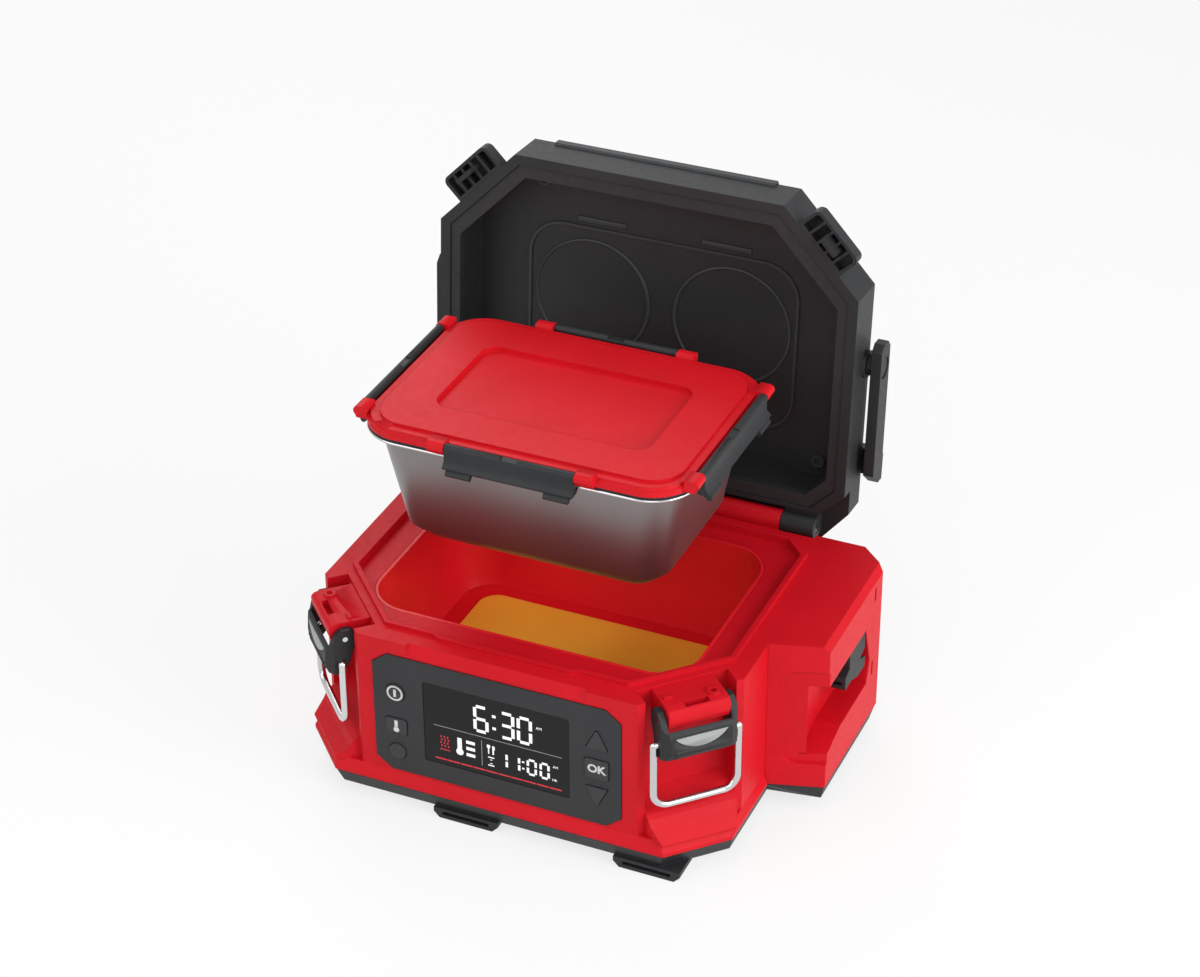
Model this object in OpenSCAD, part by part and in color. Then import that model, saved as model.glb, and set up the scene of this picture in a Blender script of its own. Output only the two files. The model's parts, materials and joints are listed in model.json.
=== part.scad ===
// Electric lunch box: a heated base with a battery dock, a hinged lid with a carry handle,
// two corner draw latches, and a lift-out steel food container with its own clipped lid.
// X runs along the front wall, Y from front to rear, Z up from the table.

/* [Main body] */
// Width between the side walls
body_w = 250; // [246:1:254]
// Depth from the front wall to the rear wall
body_d = 188.6; // [187:0.2:191]
// Height of the body's top edge above the table
rim_z = 110; // [108:0.5:114]
// Height of the red body's lower edge above the table
shell_z = 16; // [14:0.5:18]
// Width of the front wall between its two cut-off corners
front_flat_w = 164.8; // [162:0.2:168]
// Angle of the cut-off corners from the front wall, in degrees
corner_angle = 46; // [45:0.5:47]
// Size of the small cut at the rear corners
rear_corner = 15; // [10:1:18]
// Thickness of the moulded walls
wall = 3; // [2.6:0.1:3.2]
// How far the plinth stands out in front of the body
plinth_out = 3.4; // [2:0.2:4]
// Height of the plinth's sloped edge
plinth_h = 7.4; // [5:0.2:9]

/* [Deck and seal rib] */
// How far the deck inside the seal rib lies below the top edge
deck_drop = 2.5; // [1.5:0.1:3]
// Thickness of the deck
deck_t = 3; // [2.5:0.1:3.5]
// Distance from the front wall to the seal rib
rib_front = 13.1; // [12.5:0.1:14]
// Width of the seal rib
rib_w = 3; // [2:0.1:3.5]
// Height of the seal rib above the top edge
rib_h = 2.1; // [1.5:0.1:2.4]

/* [Heating chamber] */
// Width of the chamber at the deck
chamber_w = 190; // [189:0.5:192]
// Depth of the chamber at the deck, front to rear
chamber_d = 130.6; // [130:0.2:132]
// Corner radius of the chamber
chamber_r = 23; // [20:1:26]
// Middle of the chamber behind the front wall
chamber_y = 98.5; // [97.5:0.1:99]
// Wall of the chamber liner
liner_t = 2; // [1.6:0.1:2.4]
// Height of the heating plate's top above the table
plate_z = 46; // [45:0.5:48]
// Width of the heating plate
plate_w = 154; // [148:1:158]
// Depth of the heating plate
plate_d = 100; // [94:1:104]

/* [Battery dock] */
// How far the dock stands out from the body's side
dock_w = 32; // [30:0.5:34]
// Where the dock begins behind the front wall
dock_front = 78.4; // [76:0.2:82]
// Slope of the dock's front face: how far it falls back over the dock's width
dock_slope = 9.8; // [8:0.2:12]
// Depth of the battery bay from the dock's side face
bay_depth = 15; // [13:0.5:16]
// Height of the bay's ceiling above the table
bay_top = 83; // [80:1:86]
// Height of the bay's floor above the table
bay_floor = 43.5; // [41:0.5:46]
// Rear end of the bay behind the front wall
bay_rear = 157; // [154:1:160]

/* [Control panel] */
// Width of the control panel
panel_w = 147; // [145:0.5:149]
// Height of the panel's upper edge above the table
panel_top = 101.8; // [100:0.2:102.4]
// Height of the panel's lower edge above the table
panel_low = 24.9; // [24.6:0.1:26]
// Width of the display window
display_w = 86.4; // [84:0.2:88]
// Height of the display window's upper edge above the table
display_top = 89.4; // [88:0.2:91]
// Height of the display window's lower edge above the table
display_low = 37; // [36:0.2:40]
// Distance of the two button columns from the panel's side edges
button_inset = 13.5; // [13:0.1:14.5]
// How far a button travels when it is pressed
button_travel = 1.2; // [0.8:0.1:1.5]

/* [Lid] */
// Height of the lid above its seal plane
lid_h = 31; // [30:0.5:34]
// Thickness of the lid's top
lid_top_t = 2.5; // [2:0.1:3]
// Width of the lid's rim, wall and seal channel together
lid_rim_w = 14; // [13:0.2:14.6]
// Diameter of the hinge rod
rod_d = 4; // [3:0.1:5]
// Outside radius of the hinge knuckles
knuckle_r = 6.5; // [6:0.1:7]
// Half the length of the body's hinge knuckle
knuckle_x = 90; // [80:1:95]
// Length of each lid knuckle
lid_knuckle = 20.5; // [16:0.5:22]
// Angle at which the lid stands open, in degrees
open_angle = 94.4; // [92:0.2:97]

/* [Carry handle] */
// Distance from the lid's hinge to the handle's pivots
handle_pivot = 97; // [92:1:100]
// Length of the handle's arms from pivot to grip
handle_len = 66; // [64:1:70]
// Thickness of the handle's arms
handle_t = 6; // [5:0.5:7]

/* [Corner latches] */
// Half the width of the pocket that each latch sits in
pocket_half = 26; // [26:0.5:28]
// Depth of the latch pocket from the corner's face
pocket_d = 12; // [11:0.5:13]
// Half the width of the latch keeper
keeper_half = 17.5; // [16.5:0.5:17.5]
// Half the width of the latch lever over its cheeks
lever_half = 22; // [21.6:0.1:22.4]
// Diameter of the wire bail
wire_d = 4.2; // [3.8:0.1:4.4]
// Length of the bail from its pivots to its lower bar
bail_len = 40.5; // [38:0.5:42]

/* [Food container] */
// Width of the container's rolled rim
tray_w = 188; // [187:0.5:188.5]
// Depth of the container's rolled rim
tray_d = 134.5; // [134:0.1:135]
// Height of the container from its bottom to its rim
tray_h = 70; // [69:0.5:71]
// Wall of the container
tray_t = 0.8; // [0.6:0.1:1]
// How far the container is lifted out of the chamber
lift = 99.7; // [97:0.5:102]
// Sideways place of the container's middle
tray_x = -1.5; // [-2:0.1:0]
// Middle of the container behind the front wall
tray_y = 97.3; // [97:0.1:98.5]
// Length of the front and rear clips
clip_front = 74; // [70:1:78]
// Length of the side clips
clip_side = 88; // [80:1:90]

/* [Fit] */
// Clearance of a turning pin in its bore, on the radius
pin_gap = 0.05; // [0.02:0.01:0.1]
// Clearance between loose faces
gap = 0.3; // [0.2:0.05:0.4]

/* [Hidden] */
$fn = 48;

red = "#c8141c";
black = "#202124";
steel = "#b9bcc0";

hinge_y = body_d + 3.4;
hinge_z = rim_z + 2.7;
seal_z = rim_z + 2.4;
rib_rear = body_d - 9.2;
lid_z = rim_z + 1.5;
lid_top_z = lid_z + lid_h;
lid_side = body_w / 2 + 1;
corner_reach = front_flat_w / 2 * sin(corner_angle);
corner_mid = [(cut_x(0, 0) + body_w / 2) / 2, cut_y(body_w / 2, 0) / 2];
seated_z = plate_z + gap;
tray_z = seated_z + lift;
tray_rim_z = tray_z + tray_h;
dock_x = body_w / 2 + dock_w;
base_floor = 6;
washer_x = lid_side + 1.5;
arm_x = washer_x + 3;
arm_out = arm_x + handle_t;
origin_x = (dock_x - arm_out) / 2;
handle_y = hinge_y - handle_pivot;
handle_z = lid_top_z - 8;
handle_rise = 20;
grip_far = [handle_pivot - handle_len + 5, handle_z - hinge_z + handle_rise];
origin_y = (hinge_y + grip_far[1] * sin(open_angle) - grip_far[0] * cos(open_angle) - plinth_out) / 2;
foot_x = [-19.5, 88.3];
// the front screws stand behind the middle of the cut-off corners
screw_x = corner_mid[0] - 19.7;
screw_y = [corner_mid[1] + 13.9432, body_d - 22];
button_x = panel_w / 2 - button_inset;

// Where a line parallel to a cut-off corner, moved out by cut, crosses a given y or x
function cut_x(y, cut) = (corner_reach + cut + y * cos(corner_angle)) / sin(corner_angle);
function cut_y(x, cut) = (x * sin(corner_angle) - corner_reach - cut) / cos(corner_angle);

// A row of points and its mirror image about the Y axis
function both_halves(half) = concat(half, [for (i = [len(half) - 1 : -1 : 0]) [-half[i][0], half[i][1]]]);

// Plan of a box with cut-off corners; cut moves the front corners out from the body's
module plan(front, side, rear, cut, rear_cut) {
  polygon(both_halves([
    [cut_x(front, cut), front],
    [side, cut_y(side, cut)],
    [side, rear - rear_cut],
    [side - rear_cut, rear]
  ]));
}

// The same plan between two heights
module slab(z1, z2, front, side, rear, cut, rear_cut) {
  translate([0, 0, z1])
    linear_extrude(z2 - z1)
      plan(front, side, rear, cut, rear_cut);
}

// The body's own plan, moved inward by a distance
module body_slab(z1, z2, inward) {
  slab(z1, z2, inward, body_w / 2 - inward, body_d - inward, -inward, rear_corner - inward * 0.4);
}

// Rectangle with round corners, centred
module round_plan(w, d, r) {
  square([w, d - 2 * r], center = true);
  square([w - 2 * r, d], center = true);
  for (sx = [-1, 1], sy = [-1, 1])
    translate([sx * (w / 2 - r), sy * (d / 2 - r)])
      circle(r);
}

module round_slab(z1, z2, w, d, r) {
  translate([0, 0, z1])
    linear_extrude(z2 - z1)
      round_plan(w, d, r);
}

// A prism along X from its profile in Y and Z
module along_x(x1, x2, profile) {
  translate([x1, 0, 0])
    rotate([90, 0, 90])
      linear_extrude(x2 - x1)
        polygon(profile);
}

// A rod along X
module rod_x(x1, x2, y, z, r) {
  translate([x1, y, z])
    rotate([0, 90, 0])
      cylinder(h = x2 - x1, r = r);
}

// A plate that faces the front, drawn in X and Z
module facing(y1, y2) {
  translate([0, y2, 0])
    rotate([90, 0, 0])
      linear_extrude(y2 - y1)
        children();
}

// Places children at the right cut-off corner: X along the corner toward the rear, Y inward
module at_corner() {
  translate([corner_mid[0], corner_mid[1], 0])
    rotate([0, 0, corner_angle])
      children();
}

module at_left_corner() {
  mirror([1, 0, 0])
    at_corner()
      children();
}

module at_both_corners() {
  at_corner() children();
  at_left_corner() children();
}

// Moves a piece from the body's own middle to the part's origin, the bottom centre of the whole
module placed() {
  translate([-origin_x, -origin_y, 0])
    children();
}

// Swings pieces drawn on the closed lid up to the open position
module opened() {
  translate([0, hinge_y, hinge_z])
    rotate([-open_angle, 0, 0])
      translate([0, -hinge_y, -hinge_z])
        children();
}

/* ---------- Body ---------- */

pocket_floor_in = rim_z - 64;
pocket_floor_out = rim_z - 72.8;
pocket_lip = -1.5;

// The hollow behind a corner that holds the latch
module pocket(extra) {
  slope = (pocket_floor_in - pocket_floor_out) / (pocket_d - pocket_lip);
  low = pocket_floor_in - extra;
  along_x(-pocket_half - extra, pocket_half + extra, [
    [pocket_d + extra, rim_z + 10],
    [pocket_d + extra, low],
    [-1, low - slope * (pocket_d + 1)],
    [-1, rim_z + 10]
  ]);
}

// The sloped corner below each pocket that runs out to the plinth
module corner_block() {
  difference() {
    along_x(-pocket_half, pocket_half, [
      [pocket_d + wall, pocket_floor_in],
      [pocket_d, pocket_floor_in],
      [pocket_lip, pocket_floor_out],
      [-4, pocket_floor_out - 2.2],
      [-6.5, pocket_floor_out - 6.2],
      [-13.5, shell_z + plinth_h],
      [-13.5, shell_z + plinth_h - 1],
      [pocket_d + wall, shell_z + plinth_h - 1]
    ]);
    // both ends lean in toward the plinth
    for (s = [-1, 1])
      translate([s * (pocket_half - 1), -14, shell_z])
        rotate([0, s * 7, -s * 18])
          cube([8, 26, 70], center = true);
  }
}

module plinth() {
  difference() {
    hull() {
      slab(shell_z, shell_z + 2, -plinth_out, body_w / 2 + 2.2, body_d, 14, rear_corner);
      slab(shell_z + plinth_h - 0.1, shell_z + plinth_h, 0, body_w / 2, body_d, 10, rear_corner);
    }
    body_slab(shell_z - 1, shell_z + plinth_h + 1, wall);
    // no flare where the battery dock meets the side and the rear corner
    translate([body_w / 2, dock_front - 1, 0])
      cube([10, body_d, 60]);
    translate([0, 0, shell_z - 1])
      linear_extrude(plinth_h + 2)
        dock_plan(0);
  }
}

// The raised rib that the lid's seal presses on, with the jog at the middle of the front
module seal_rib() {
  module ring(inward) {
    side = body_w / 2 - 10.6 - inward;
    rear = rib_rear - inward;
    front = rib_front + inward;
    polygon(both_halves([
      [39, front - 2.4],
      [43, front],
      [cut_x(front, -16.8 - inward), front],
      [side, cut_y(side, -16.8 - inward)],
      [side, rear - 12.5],
      [side - 12, rear]
    ]));
  }
  translate([0, 0, rim_z - deck_drop - 0.5])
    linear_extrude(deck_drop + 0.5 + rib_h)
      difference() {
        ring(0);
        ring(rib_w);
      }
}

module deck_recess() {
  inward = rib_w / 2;
  side = body_w / 2 - 10.6 - inward;
  rear = rib_rear - inward;
  front = rib_front + inward;
  translate([0, 0, rim_z - deck_drop])
    linear_extrude(deck_drop + 1)
      polygon(both_halves([
        [cut_x(front, -16.8 - inward), front],
        [side, cut_y(side, -16.8 - inward)],
        [side, rear - 12.5],
        [side - 12, rear]
      ]));
}

// Room for the lid's knuckles at the rear edge
module knuckle_room() {
  for (s = [0, 1])
    mirror([s, 0, 0])
      rod_x(knuckle_x + 0.2, knuckle_x + lid_knuckle + 1, hinge_y, hinge_z, knuckle_r + 0.6);
}

module body_shell() placed() color(red) {
  deck_low = rim_z - deck_drop - deck_t;
  difference() {
    union() {
      difference() {
        body_slab(shell_z, rim_z, 0);
        difference() {
          body_slab(shell_z - 1, deck_low, wall);
          at_both_corners() pocket(wall);
        }
        at_both_corners() pocket(0);
        deck_recess();
        // bevel along the middle of the front's top edge
        along_x(-52.5, 52.5, [
          [-1, rim_z - 6],
          [0, rim_z - 6],
          [2.5, rim_z],
          [2.5, rim_z + 1],
          [-1, rim_z + 1]
        ]);
        // opening for the heating chamber
        translate([0, chamber_y, 0])
          round_slab(deck_low - 1, rim_z + 1,
            chamber_w + 2 * liner_t, chamber_d + 2 * liner_t, chamber_r + liner_t);
        // seat and window for the control panel
        facing(-1, 2) panel_outline(0);
        facing(1, wall + 1) panel_outline(-5);
        knuckle_room();
      }
      seal_rib();
      plinth();
      at_both_corners() corner_block();
      // hinge knuckle with its web down the rear wall
      rod_x(-knuckle_x, knuckle_x, hinge_y, hinge_z, knuckle_r);
      along_x(-knuckle_x, knuckle_x, [
        [body_d - 2, rim_z - 14],
        [body_d, rim_z - 14],
        [hinge_y + 5, hinge_z - 4],
        [hinge_y, hinge_z],
        [body_d - 2, rim_z - 1]
      ]);
      // bosses for the base screws
      for (x = [-screw_x, screw_x], y = screw_y)
        translate([x, y, shell_z])
          difference() {
            cylinder(h = 26, r = 5);
            translate([0, 0, -1]) cylinder(h = 22, r = 1.6);
          }
      // webs from the bosses to the rear wall and to the corner blocks
      for (x = [-screw_x, screw_x])
        translate([x - 1.2, screw_y[1] + 4, shell_z + 6])
          cube([2.4, body_d - wall - screw_y[1] - 3, 18]);
      at_both_corners()
        translate([-4.8, pocket_d + wall - 1, shell_z + 8])
          cube([2.4, 6, 16]);
    }
    rod_x(-knuckle_x - 1, knuckle_x + 1, hinge_y, hinge_z, rod_d / 2);
  }
}

module base_tray() placed() color(black) {
  inner = wall + 1;
  difference() {
    union() {
      hull() {
        slab(base_floor, base_floor + 1, 1, body_w / 2 - 1, body_d - 1, 9, rear_corner);
        slab(shell_z - 1, shell_z, -plinth_out + 0.6, body_w / 2 + 1.6, body_d, 13, rear_corner);
      }
      hull() {
        translate([0, 0, base_floor])
          linear_extrude(1)
            polygon([[100, dock_front + 4], [dock_x - 3, dock_front + dock_slope + 3],
              [dock_x - 3, body_d - 17], [dock_x - 18, body_d - 1], [100, body_d - 1]]);
        translate([0, 0, shell_z - 1])
          linear_extrude(1)
            dock_plan(0.6);
      }
    }
    body_slab(base_floor + wall, shell_z + 1, inner);
    translate([0, 0, base_floor + wall])
      linear_extrude(20)
        dock_plan(inner);
    for (x = [-screw_x, screw_x], y = screw_y)
      translate([x, y, -1])
        cylinder(h = 20, r = 1.8);
  }
  // screw posts that reach up to the body's bosses
  for (x = [-screw_x, screw_x], y = screw_y)
    translate([x, y, base_floor + wall - 0.5])
      difference() {
        cylinder(h = shell_z - base_floor - wall + 0.5, r = 5);
        translate([0, 0, -1]) cylinder(h = 20, r = 1.8);
      }
  // cleat feet along the front and rear edges
  for (x = foot_x, m = [0, 1])
    translate([x, m * body_d, 0])
      mirror([0, m, 0])
        foot();
}

// One foot: its front has a slot above a lip, and its ends slope
module foot() {
  top = base_floor + 0.5;
  difference() {
    facing(-1.5, 16)
      polygon(both_halves([[16, 0], [19.5, 3.6], [19.5, top]]));
    facing(-2, 1.5)
      translate([-14, 2.2])
        square([28, 2.4]);
  }
}

/* ---------- Battery dock ---------- */

module dock_plan(inward) {
  polygon([
    [100, dock_front + inward],
    [body_w / 2, dock_front + inward],
    [dock_x - inward, dock_front + dock_slope + inward * 0.8],
    [dock_x - inward, body_d - 15 - inward * 0.4],
    [dock_x - 16 - inward * 0.4, body_d - inward],
    [100, body_d - inward]
  ]);
}

module battery_housing() placed() color(red) {
  side = body_w / 2;
  difference() {
    translate([0, 0, shell_z])
      linear_extrude(rim_z - shell_z)
        dock_plan(0);
    // the body takes this room, with its cut rear corner
    body_slab(0, 2 * rim_z, 0);
    cube([side - rear_corner, 2 * body_d, 2 * rim_z]);
    // hollow behind the bay
    difference() {
      translate([0, 0, shell_z - 1])
        linear_extrude(rim_z - wall - shell_z + 1)
          difference() {
            dock_plan(wall);
            square([side, 2 * body_d]);
          }
      bay(wall);
    }
    bay(0);
    // shallow recess in the front face, open toward the side
    on_dock_front()
      facing(-1, 1.6)
        translate([29.5, rim_z - 47.8])
          round_plan(40, 61.5, 8);
    knuckle_room();
    // bevel along the top of the side face
    translate([dock_x, 0, rim_z])
      rotate([0, 45, 0])
        cube([5, 4 * body_d, 5], center = true);
    // two short slots in the rear strip of the side face
    for (z = [rim_z - 16, rim_z - 66])
      translate([dock_x - 1, bay_rear + 4, z])
        cube([2, 2.4, 9]);
  }
  // strip of wall beside the bay's front opening
  on_dock_front()
    translate([17.5, 1.6, bay_floor - 6])
      cube([5, 3, bay_top - bay_floor + 12]);
}

// The dock's front face: X along it from the body, Y inward
module on_dock_front() {
  translate([body_w / 2, dock_front, 0])
    rotate([0, 0, atan(dock_slope / dock_w)])
      children();
}

// The battery bay: open to the side and round the front corner, with a floor that falls to the front
module bay(extra) {
  x1 = dock_x - bay_depth - extra;
  profile = [
    [dock_front - 20, bay_top + extra],
    [bay_rear - 9 + extra, bay_top + extra],
    [bay_rear + extra, bay_floor + 14],
    [bay_rear - 4 + extra, bay_floor - extra],
    [dock_front + 32, bay_floor - extra],
    [dock_front - 20, bay_floor - 14 - extra]
  ];
  along_x(x1, dock_x + 10, profile);
}

// Stepped contact block with two arms toward the rear
module terminal_block() placed() color(black) {
  y1 = dock_front + 39.6;
  difference() {
    along_x(dock_x - bay_depth, dock_x - 0.6, [
      [y1, bay_top - 21],
      [y1, bay_top - 13],
      [y1 + 6, bay_top - 11],
      [y1 + 6, bay_top],
      [bay_rear - 9, bay_top],
      [bay_rear - 8, bay_top - 6],
      [bay_rear - 7.5, bay_top - 12],
      [bay_rear - 16, bay_top - 15],
      [bay_rear - 6.5, bay_top - 19],
      [bay_rear - 7, bay_top - 25],
      [bay_rear - 18, bay_top - 25],
      [bay_rear - 29, bay_top - 21]
    ]);
    // slots for the battery's blades
    for (z = [bay_top - 18.5, bay_top - 8])
      translate([dock_x - 9, y1 - 1, z])
        cube([6, 12, 2]);
  }
}

/* ---------- Heating chamber ---------- */

// The chamber's hollow, grown by a distance: its walls turn in above the floor
module chamber_shape(z_low, grow) {
  w = chamber_w + 2 * grow;
  d = chamber_d + 2 * grow;
  r = chamber_r + grow;
  top = rim_z - deck_drop;
  translate([0, chamber_y, 0])
    hull() {
      round_slab(z_low, z_low + 0.1, w - 12, d - 8, r - 4, $fn = 32);
      round_slab(z_low + 8, z_low + 8.1, w - 3, d - 3, r, $fn = 32);
      round_slab(top - 0.1, top, w, d, r, $fn = 32);
    }
}

module chamber_liner() placed() color(red) {
  floor_top = plate_z - 1;
  difference() {
    union() {
      chamber_shape(floor_top - liner_t, liner_t - 0.05);
      translate([0, chamber_y, 0])
        round_slab(rim_z - deck_drop - deck_t - 2.5, rim_z - deck_drop - deck_t,
          chamber_w + 11, chamber_d + 11, chamber_r + 5.5);
    }
    chamber_shape(floor_top, 0);
    translate([0, chamber_y, rim_z - deck_drop - 0.05])
      linear_extrude(1)
        round_plan(chamber_w, chamber_d, chamber_r);
    translate([0, chamber_y, 0])
      round_slab(floor_top - 5, floor_top + 1, plate_w + 2 * gap, plate_d + 2 * gap, 12 + gap);
  }
}

module heating_plate() placed() color("#3a3a3c") {
  floor_low = plate_z - 1 - liner_t;
  translate([0, chamber_y, 0]) {
    round_slab(floor_low, plate_z, plate_w, plate_d, 12);
    round_slab(floor_low - 2, floor_low, plate_w + 10, plate_d + 10, 14);
  }
}

heater_top = plate_z - 3 - liner_t;

module heater_element() placed() color("#8a6b3a") {
  translate([0, chamber_y, 0]) {
    round_slab(heater_top - 1.2, heater_top, plate_w, plate_d, 8);
    // flat heating wire wound to and fro across the sheet
    for (i = [0 : 6])
      translate([-plate_w / 2 + 16 + i * (plate_w - 32) / 6, 0, heater_top - 2])
        cube([6, plate_d - 16, 1.6], center = true);
  }
}

module insulation_pad() placed() color("#e7e2d4") {
  translate([0, chamber_y, 0])
    round_slab(heater_top - 7, heater_top - 2.8, plate_w + 8, plate_d + 8, 12);
}

module heater_pan() placed() color(steel) {
  pan_low = heater_top - 8.2;
  translate([0, chamber_y, 0])
    difference() {
      round_slab(pan_low, plate_z - 1 - liner_t, plate_w + 16, plate_d + 16, 17);
      round_slab(pan_low + 1.2, plate_z, plate_w + 12, plate_d + 12, 15);
    }
}

module thermostat() placed() color("#d8d8d2") {
  top = heater_top - 8.2;
  translate([20, chamber_y, top - 6])
    cylinder(h = 6, r = 8);
  translate([20, chamber_y, top - 9])
    cylinder(h = 3, r = 5);
  for (s = [-1, 1])
    translate([20 + s * 3, chamber_y, top - 10])
      cube([1, 4, 5], center = true);
}

module power_board() placed() color("#1f6b3a") {
  z = base_floor + wall;
  translate([0, chamber_y, 0]) {
    for (x = [-60, 60], y = [-32, 32])
      translate([x, y, z])
        cylinder(h = 3, r = 3);
    translate([-70, -40, z + 3]) cube([140, 80, 1.6]);
    translate([-40, 5, z + 4.6]) cylinder(h = 10, r = 12);
    for (x = [10, 24, 38])
      translate([x, 20, z + 4.6]) cylinder(h = 12, r = 5);
    translate([-10, -34, z + 4.6]) cube([50, 10, 12]);
  }
}

/* ---------- Control panel ---------- */

panel_face = -0.6;

// Outline of the panel in X and Z with cut corners, moved out by a distance
module panel_outline(out) {
  w = panel_w / 2 + out;
  top = panel_top + out;
  low = panel_low - out;
  polygon(both_halves([
    [w - 9, low],
    [w, low + 7],
    [w, top - 7],
    [w - 9, top]
  ]));
}

power_z = 77.3;
temperature_z = 55.2;
mode_z = 38;
up_z = 75;
ok_z = 61.7;
down_z = 49.5;

// Outlines of the six buttons; out widens them to their holes
module power_shape(out) translate([-button_x, power_z]) circle(5.6 + out);
module mode_shape(out) translate([-button_x, mode_z]) circle(5 + out);
module temperature_shape(out) {
  translate([-button_x, temperature_z])
    round_plan(12.7 + 2 * out, 9.8 + 2 * out, 1.5);
}

module ok_shape(out) {
  translate([button_x - 0.7, ok_z])
    round_plan(13.9 + 2 * out, 12.5 + 2 * out, 1.5);
}

module arrow_shape(z, up, out) {
  translate([button_x - 0.6, z])
    mirror([0, up ? 0 : 1, 0])
      polygon(both_halves([[6.3 + 1.7 * out, -out], [0.6, 11.5 + 1.7 * out]]));
}

module up_shape(out) arrow_shape(up_z, true, out);
module down_shape(out) arrow_shape(down_z, false, out);

module control_panel() placed() color(black) {
  difference() {
    facing(panel_face, 2) panel_outline(-gap / 2);
    facing(-5, 5)
      translate([0, (display_top + display_low) / 2])
        round_plan(display_w + 2 * 0.1, display_top - display_low + 0.2, 1.5);
    facing(-5, 5) power_shape(gap);
    facing(-5, 5) temperature_shape(gap);
    facing(-5, 5) mode_shape(gap);
    facing(-5, 5) ok_shape(gap);
    facing(-5, 5) up_shape(gap);
    facing(-5, 5) down_shape(gap);
  }
}

module display_window() placed() color("#0c0c0e") {
  facing(panel_face + 0.3, 2)
    translate([0, (display_top + display_low) / 2])
      round_plan(display_w, display_top - display_low, 1.4);
}

module display_module() placed() color("#5d6166") {
  facing(2, 7)
    translate([0, (display_top + display_low) / 2])
      round_plan(display_w + 5, display_top - display_low + 5, 1);
}

board_y = 7;
module control_board() placed() color("#1f6b3a") {
  facing(board_y, board_y + 1.6)
    translate([0, (panel_top + panel_low) / 2])
      round_plan(panel_w - 13, panel_top - panel_low - 13, 2);
  // plug for the ribbon cable and two chips on the rear side
  facing(board_y + 1.6, board_y + 6)
    translate([-10, 40]) square([24, 6]);
  for (x = [-40, 30])
    facing(board_y + 1.6, board_y + 3)
      translate([x, 62]) square([10, 10]);
}

// A button with its collar behind the panel and a stem to its switch
module button() color("#2b2d30") {
  children(0);
  children(1);
}

stem_end = board_y - button_travel - 0.1;

module power_button() placed() button() {
  facing(panel_face - 0.6, 2.2) power_shape(0);
  facing(2, stem_end) power_shape(1);
}

module temperature_button() placed() button() {
  facing(panel_face - 0.6, 2.2) temperature_shape(0);
  facing(2, stem_end) temperature_shape(1);
}

module mode_button() placed() button() {
  facing(panel_face - 0.6, 2.2) mode_shape(0);
  facing(2, stem_end) mode_shape(1);
}

module ok_button() placed() button() {
  facing(panel_face - 0.6, 2.2) ok_shape(0);
  facing(2, stem_end) ok_shape(0.8);
}

module up_button() placed() button() {
  facing(panel_face - 0.6, 2.2) up_shape(0);
  facing(2, stem_end) up_shape(0.8);
}

module down_button() placed() button() {
  facing(panel_face - 0.6, 2.2) down_shape(0);
  facing(2, stem_end) down_shape(0.8);
}

/* ---------- Corner latches ---------- */

pin_at = [-4, rim_z - 9];
bail_at = [-7, rim_z - 23.5];
pin_r = 1.5;
wire_r = wire_d / 2;
cheek_in = keeper_half + 2 * gap;
face_half = 17;
slot_x = [-7, 7];
slot_y = [-9, -5];

// The red keeper that the lid's tongue drops into; the lever turns on a pin through it
module keeper() color(red) {
  difference() {
    union() {
      along_x(-keeper_half, keeper_half, [
        [pocket_d, rim_z - 15],
        [pocket_d, rim_z - 1],
        [-6.5, rim_z - 0.8],
        [-10, rim_z - 1.6],
        [-11.6, rim_z - 3],
        [-12, rim_z - 4.8],
        [-11.4, rim_z - 9],
        [-10, rim_z - 12.6],
        [-8.6, rim_z - 13.8],
        [-4, rim_z - 14.4]
      ]);
      // round boss beside the slot, and a small tab at the other end
      translate([11.4, -2.8, rim_z - 3]) cylinder(h = 3.4, r = 3.6);
      translate([-15.5, 0, rim_z - 3]) cube([5, 2.2, 3.4]);
    }
    translate([slot_x[0], slot_y[0], rim_z - 6.5])
      cube([slot_x[1] - slot_x[0], slot_y[1] - slot_y[0], 20]);
    translate([11.4, -2.8, rim_z - 2.4]) cylinder(h = 10, r = 1.7);
    rod_x(-50, 50, pin_at[0], pin_at[1], pin_r);
  }
}

// Outline of the pale pad: flat above and round below
module lens(out) {
  intersection() {
    translate([0, rim_z - 4.4]) circle(19.6 + out);
    translate([-16, rim_z - 30]) square([32, 13 + out]);
  }
}

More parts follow.
